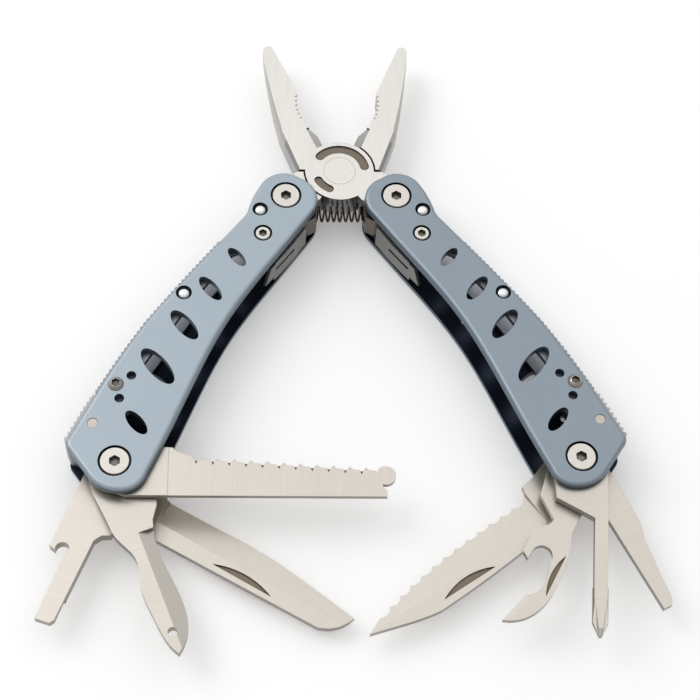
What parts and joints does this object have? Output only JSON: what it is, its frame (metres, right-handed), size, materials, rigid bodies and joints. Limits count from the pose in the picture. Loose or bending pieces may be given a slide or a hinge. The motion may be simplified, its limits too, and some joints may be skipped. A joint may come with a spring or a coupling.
{
  "type": "folding multi tool",
  "caption": "Folding plier multi tool laid open: spring-loaded jaws between windowed handles, with knife blades, saw, awl, drivers and openers swung out.",
  "frame": {"origin": "centre of the whole object's plan, on the surface it lies on", "axes": "+Y from the handles towards the plier jaws, +Z out of the front covers, +X to the right seen from the front"},
  "size_m": [0.1526, 0.1778, 0.0163],
  "materials": {
    "cover_anodised": "satin anodised, light steel blue",
    "liner_steel": "blanked stainless, grey",
    "frame_steel": "bead blasted stainless",
    "tool_steel": "satin ground stainless",
    "jaw_steel": "satin stainless",
    "screw_nickel": "satin nickel",
    "rivet_chrome": "polished",
    "spring_steel": "oil blackened spring wire",
    "washer_bronze": "dull phosphor bronze"
  },
  "bodies": {
    "left_jaw": {"left_jaw": "jaw_steel", "jaw_rivet": "jaw_steel", "jaw_return_spring": "spring_steel"},
    "right_jaw": {"right_jaw": "jaw_steel"},
    "left_handle": {"left_front_cover": "cover_anodised", "left_back_cover": "cover_anodised", "left_front_liner": "liner_steel", "left_back_liner": "liner_steel", "left_plier_pivot_screw": "screw_nickel", "left_plier_pivot_nut": "screw_nickel", "left_tool_pivot_screw": "screw_nickel", "left_tool_pivot_nut": "screw_nickel", "left_bracket_screw": "screw_nickel", "left_bracket_nut": "screw_nickel", "left_lock_screw": "screw_nickel", "left_lock_nut": "screw_nickel", "left_spine_rivets": "rivet_chrome", "left_stop_pin": "screw_nickel", "left_detent_bracket": "frame_steel", "left_tang_washers": "washer_bronze", "left_tool_washers": "washer_bronze", "left_lock_spring": "spring_steel"},
    "left_lock_rocker": {"left_lock_rocker": "frame_steel"},
    "right_handle": {"right_front_cover": "cover_anodised", "right_back_cover": "cover_anodised", "right_front_liner": "liner_steel", "right_back_liner": "liner_steel", "right_plier_pivot_screw": "screw_nickel", "right_plier_pivot_nut": "screw_nickel", "right_tool_pivot_screw": "screw_nickel", "right_tool_pivot_nut": "screw_nickel", "right_bracket_screw": "screw_nickel", "right_bracket_nut": "screw_nickel", "right_lock_screw": "screw_nickel", "right_lock_nut": "screw_nickel", "right_spine_rivets": "rivet_chrome", "right_stop_pin": "screw_nickel", "right_detent_bracket": "frame_steel", "right_tang_washers": "washer_bronze", "right_tool_washers": "washer_bronze", "right_lock_spring": "spring_steel", "right_back_spacer": "washer_bronze"},
    "right_lock_rocker": {"right_lock_rocker": "frame_steel"},
    "saw": {"saw": "tool_steel"},
    "awl": {"awl": "tool_steel"},
    "driver_cap_lifter": {"driver_cap_lifter": "tool_steel"},
    "plain_blade": {"plain_blade": "tool_steel"},
    "cross_driver": {"cross_driver": "tool_steel"},
    "can_opener": {"can_opener": "tool_steel"},
    "flat_driver": {"flat_driver": "tool_steel"},
    "serrated_blade": {"serrated_blade": "tool_steel"}
  },
  "joints": [
    {"name": "jaw_hinge", "type": "hinge", "parent": "left_jaw", "child": "right_jaw", "pos_m": [-0.00097, 0.04606, 0.0077], "axis": [0, 0, 1], "range_deg": [0, 24], "stiffness_Nm_per_rad": 0.2, "deforming": ["jaw_return_spring"]},
    {"name": "left_handle_fold", "type": "hinge", "parent": "right_jaw", "child": "left_handle", "pos_m": [-0.01565, 0.03546, 0.0077], "axis": [0, 0, -1], "range_deg": [0, 145]},
    {"name": "right_handle_fold", "type": "hinge", "parent": "left_jaw", "child": "right_handle", "pos_m": [0.01371, 0.03546, 0.0077], "axis": [0, 0, 1], "range_deg": [0, 145]},
    {"name": "saw_fold", "type": "hinge", "parent": "left_handle", "child": "saw", "pos_m": [-0.05826, -0.04154, 0.0077], "axis": [0, 0, 1], "range_deg": [-118.56, 61.44]},
    {"name": "awl_fold", "type": "hinge", "parent": "left_handle", "child": "awl", "pos_m": [-0.05826, -0.04154, 0.0077], "axis": [0, 0, 1], "range_deg": [-49.36, 130.64]},
    {"name": "driver_cap_lifter_fold", "type": "hinge", "parent": "left_handle", "child": "driver_cap_lifter", "pos_m": [-0.05826, -0.04154, 0.0077], "axis": [0, 0, 1], "range_deg": [-9.36, 170.64]},
    {"name": "plain_blade_fold", "type": "hinge", "parent": "left_handle", "child": "plain_blade", "pos_m": [-0.05826, -0.04154, 0.0077], "axis": [0, 0, 1], "range_deg": [-87.36, 92.64]},
    {"name": "cross_driver_fold", "type": "hinge", "parent": "right_handle", "child": "cross_driver", "pos_m": [0.05632, -0.04154, 0.0077], "axis": [0, 0, -1], "range_deg": [-35.26, 144.74]},
    {"name": "can_opener_fold", "type": "hinge", "parent": "right_handle", "child": "can_opener", "pos_m": [0.05632, -0.04154, 0.0077], "axis": [0, 0, -1], "range_deg": [-58.56, 121.44]},
    {"name": "flat_driver_fold", "type": "hinge", "parent": "right_handle", "child": "flat_driver", "pos_m": [0.05632, -0.04154, 0.0077], "axis": [0, 0, -1], "range_deg": [-2.56, 177.44]},
    {"name": "serrated_blade_fold", "type": "hinge", "parent": "right_handle", "child": "serrated_blade", "pos_m": [0.05632, -0.04154, 0.0077], "axis": [0, 0, -1], "range_deg": [-86.56, 92.44]},
    {"name": "left_lock_tilt", "type": "hinge", "parent": "left_handle", "child": "left_lock_rocker", "pos_m": [-0.0586, -0.02066, 0.0077], "axis": [0, 0, -1], "range_deg": [0, 1.5], "stiffness_Nm_per_rad": 0.05},
    {"name": "right_lock_tilt", "type": "hinge", "parent": "right_handle", "child": "right_lock_rocker", "pos_m": [0.05665, -0.02066, 0.0077], "axis": [0, 0, 1], "range_deg": [0, 1.5], "stiffness_Nm_per_rad": 0.05}
  ]
}
